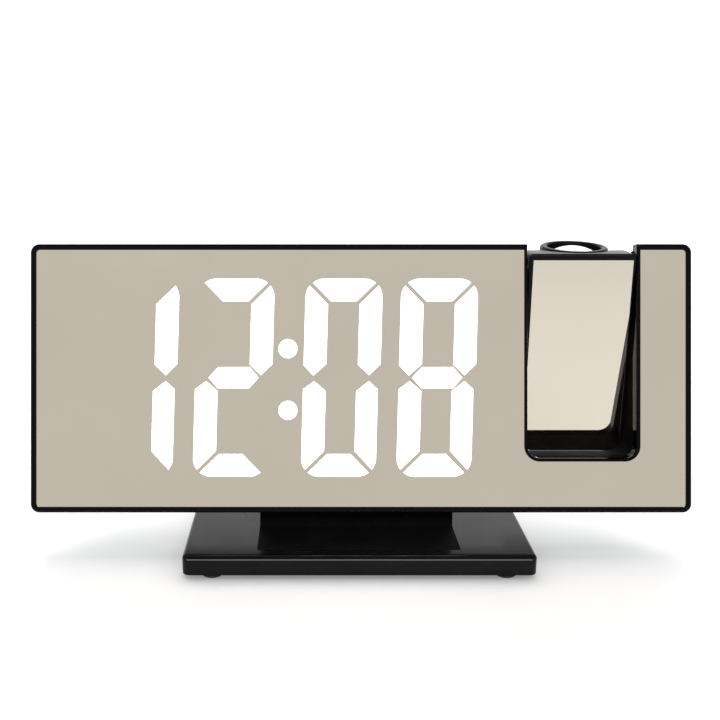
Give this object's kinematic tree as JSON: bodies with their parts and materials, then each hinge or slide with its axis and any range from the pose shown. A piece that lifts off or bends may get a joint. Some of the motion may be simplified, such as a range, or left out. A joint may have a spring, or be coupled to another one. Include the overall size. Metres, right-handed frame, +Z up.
{
  "type": "projection alarm clock",
  "caption": "Table alarm clock with a half-mirror digital display that leans back on a low stand, and a swinging projector arm with a focus ring in a notch of the housing.",
  "frame": {"origin": "on the table, under the middle of the clock's bounding box", "axes": "+X to the right along the display, +Y from the viewer to the back, +Z up"},
  "size_m": [0.1884, 0.0542, 0.0877],
  "materials": {
    "gloss_black": "high-gloss black",
    "satin_black": "fine satin black",
    "panel_mirror": "half-silvered, warm grey",
    "arm_mirror": "silvered, warm white",
    "white_plastic": "white, matt",
    "lit": "white, glowing",
    "diffuser": "milky",
    "board_green": "solder mask",
    "part_black": "moulded",
    "cream": "moulded",
    "steel": "bright",
    "brass": "plated",
    "lens": "polished acrylic",
    "led": "phosphor",
    "wire_red": "insulation",
    "rubber": "soft black",
    "film": "dark film"
  },
  "bodies": {
    "clock": {"front_bezel": "gloss_black", "mirror_panel": "panel_mirror", "segment_reflector": "white_plastic", "lit_segments": "lit", "unlit_segments": "diffuser", "segment_leds": "led", "display_board": "board_green", "ribbon_cable": "cream", "ribbon_connectors": "cream", "main_board": "board_green", "control_chip": "part_black", "board_components": "part_black", "tact_switches": "part_black", "snooze_board": "board_green", "board_screws": "steel", "sounder": "part_black", "power_socket": "part_black", "rear_cover": "satin_black", "case_screws": "steel", "backup_cell": "steel", "cell_contacts": "brass", "projector_lead": "wire_red", "stand_base": "gloss_black", "stand_neck": "satin_black", "stand_screws": "steel", "rubber_feet": "rubber"},
    "projector_arm": {"arm_front_frame": "gloss_black", "arm_mirror": "arm_mirror", "arm_rear_shell": "satin_black", "arm_screws": "steel", "pivot_pins": "steel", "friction_washers": "steel", "light_tube": "part_black", "condenser_lens": "lens", "numeral_slide": "film", "projector_led": "led", "projector_led_board": "white_plastic", "arm_lead": "wire_red"},
    "focus_ring": {"focus_ring": "gloss_black"},
    "lens_cell": {"lens_cell": "satin_black", "projection_lens": "lens"},
    "set_button": {"set_button": "gloss_black"},
    "up_button": {"up_button": "gloss_black"},
    "down_button": {"down_button": "gloss_black"},
    "alarm_button": {"alarm_button": "gloss_black"},
    "projector_button": {"projector_button": "gloss_black"},
    "snooze_bar": {"snooze_bar": "gloss_black"},
    "cell_door": {"cell_door": "satin_black"}
  },
  "joints": [
    {"name": "projector_tilt", "type": "hinge", "parent": "clock", "child": "projector_arm", "pos_m": [0.06302, 0.0088, 0.0801], "axis": [1, 0, 0], "range_deg": [-90, 90]},
    {"name": "focus_turn", "type": "hinge", "parent": "projector_arm", "child": "focus_ring", "pos_m": [0.06352, 0.0157, 0.08585], "axis": [0, -0.0558, 0.9984], "range_deg": [-120, 120]},
    {"name": "lens_focus", "type": "slide", "parent": "projector_arm", "child": "lens_cell", "axis": [0, -0.0558, 0.9984], "range_m": [-0.00133, 0.00133]},
    {"name": "set_button_press", "type": "slide", "parent": "clock", "child": "set_button", "axis": [0, -0.9703, 0.2419], "range_m": [0, 0.0008], "stiffness_N_per_m": 1200, "springref_m": -0.0003},
    {"name": "up_button_press", "type": "slide", "parent": "clock", "child": "up_button", "axis": [0, -0.9703, 0.2419], "range_m": [0, 0.0008], "stiffness_N_per_m": 1200, "springref_m": -0.0003},
    {"name": "down_button_press", "type": "slide", "parent": "clock", "child": "down_button", "axis": [0, -0.9703, 0.2419], "range_m": [0, 0.0008], "stiffness_N_per_m": 1200, "springref_m": -0.0003},
    {"name": "alarm_button_press", "type": "slide", "parent": "clock", "child": "alarm_button", "axis": [0, -0.9703, 0.2419], "range_m": [0, 0.0008], "stiffness_N_per_m": 1200, "springref_m": -0.0003},
    {"name": "projector_button_press", "type": "slide", "parent": "clock", "child": "projector_button", "axis": [0, -0.9703, 0.2419], "range_m": [0, 0.0008], "stiffness_N_per_m": 1200, "springref_m": -0.0003},
    {"name": "snooze_press", "type": "slide", "parent": "clock", "child": "snooze_bar", "axis": [0, -0.8572, -0.515], "range_m": [0, 0.0008], "stiffness_N_per_m": 1500, "springref_m": -0.0003},
    {"name": "cell_door_slide", "type": "slide", "parent": "clock", "child": "cell_door", "axis": [0, -0.2419, -0.9703], "range_m": [0, 0.012]}
  ],
  "couplings": [
    {"joint": "focus_turn", "follows": "lens_focus", "rad_per_m": -1570.8}
  ]
}
